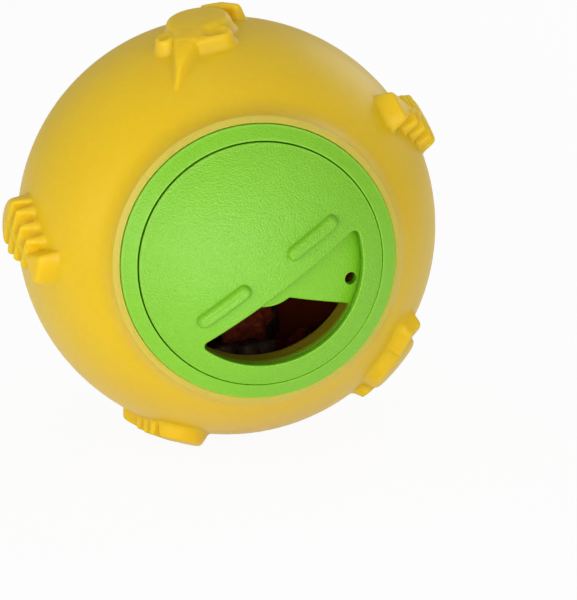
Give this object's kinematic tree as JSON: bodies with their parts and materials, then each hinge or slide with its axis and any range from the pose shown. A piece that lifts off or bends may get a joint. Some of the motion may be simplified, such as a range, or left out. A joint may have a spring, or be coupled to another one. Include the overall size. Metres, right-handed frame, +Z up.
{
  "type": "cat treat ball",
  "caption": "Hollow soft ball with raised mice and fish bones, and a push-in lid whose dial turns to open a half-moon window that lets treats fall out as the ball rolls.",
  "frame": {"origin": "centre of the ball", "axes": "+Z up, -Y out of the lid along the dial's axis, +X to the right when facing the lid"},
  "size_m": [0.0728, 0.0732, 0.0735],
  "materials": {
    "ball": "satin, soft moulded plastic",
    "lid": "smooth satin",
    "dial": "fine grain",
    "treat_red": "crumbly, stands in for a soft treat",
    "treat_brown": "crumbly, stands in for a soft treat",
    "treat_tan": "crumbly, stands in for a soft treat"
  },
  "bodies": {
    "ball": {"ball_shell": "ball", "treat_1": "treat_tan", "treat_2": "treat_brown", "treat_3": "treat_red", "treat_4": "treat_tan", "treat_5": "treat_red", "treat_6": "treat_brown", "treat_7": "treat_tan", "treat_8": "treat_brown", "treat_9": "treat_red", "treat_10": "treat_red"},
    "lid": {"lid_base": "lid"},
    "dial": {"dial": "dial"}
  },
  "joints": [
    {"name": "lid_pull", "type": "slide", "parent": "ball", "child": "lid", "axis": [0, -1, 0], "range_m": [0, 0.03]},
    {"name": "dial_turn", "type": "hinge", "parent": "lid", "child": "dial", "pos_m": [0, -0.034, 0], "axis": [0, -1, 0], "continuous": true}
  ]
}
